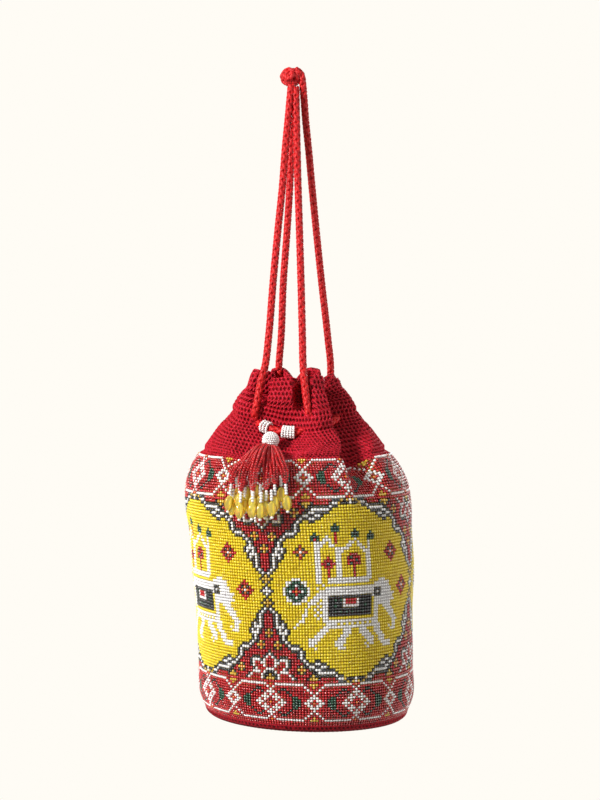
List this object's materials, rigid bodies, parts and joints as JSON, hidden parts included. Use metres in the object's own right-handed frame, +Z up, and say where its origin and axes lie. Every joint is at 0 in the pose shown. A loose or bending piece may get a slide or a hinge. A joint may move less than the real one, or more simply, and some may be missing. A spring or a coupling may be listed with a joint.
{
  "type": "beaded potli bag",
  "caption": "Hanging drawstring pouch of bead crochet with a gathered crochet collar, braided cords tied in a knot, and a beaded tassel with petal drops.",
  "frame": {"origin": "hang point: the top of the knot that joins the four cord strands", "axes": "+Z up along the hanging bag, +X to the bag's right as seen from its front, -Y towards the viewer"},
  "size_m": [0.1695, 0.1783, 0.48],
  "materials": {
    "bead_crochet": "glossy",
    "crochet": "matte",
    "cord": "satin",
    "pearl_beads": "glossy",
    "red_beads": "glossy",
    "petal_drops": "glossy"
  },
  "bodies": {
    "root": {"base_disc": "crochet", "beaded_body": "bead_crochet", "collar": "crochet", "neck_cord": "cord", "cord_front_left": "cord", "cord_back_left": "cord", "cord_front_right": "cord", "cord_back_right": "cord", "top_knot": "cord", "bead_ring_left": "pearl_beads", "bead_ring_right": "pearl_beads", "tassel_ball": "pearl_beads", "tassel_skirt": "red_beads", "tassel_drop_01": "petal_drops", "tassel_drop_02": "petal_drops", "tassel_drop_03": "petal_drops", "tassel_drop_04": "petal_drops", "tassel_drop_05": "petal_drops", "tassel_drop_06": "petal_drops", "tassel_drop_07": "petal_drops", "tassel_drop_08": "petal_drops", "tassel_drop_09": "petal_drops", "tassel_drop_10": "petal_drops", "tassel_drop_11": "petal_drops", "tassel_drop_12": "petal_drops"}
  },
  "joints": []
}
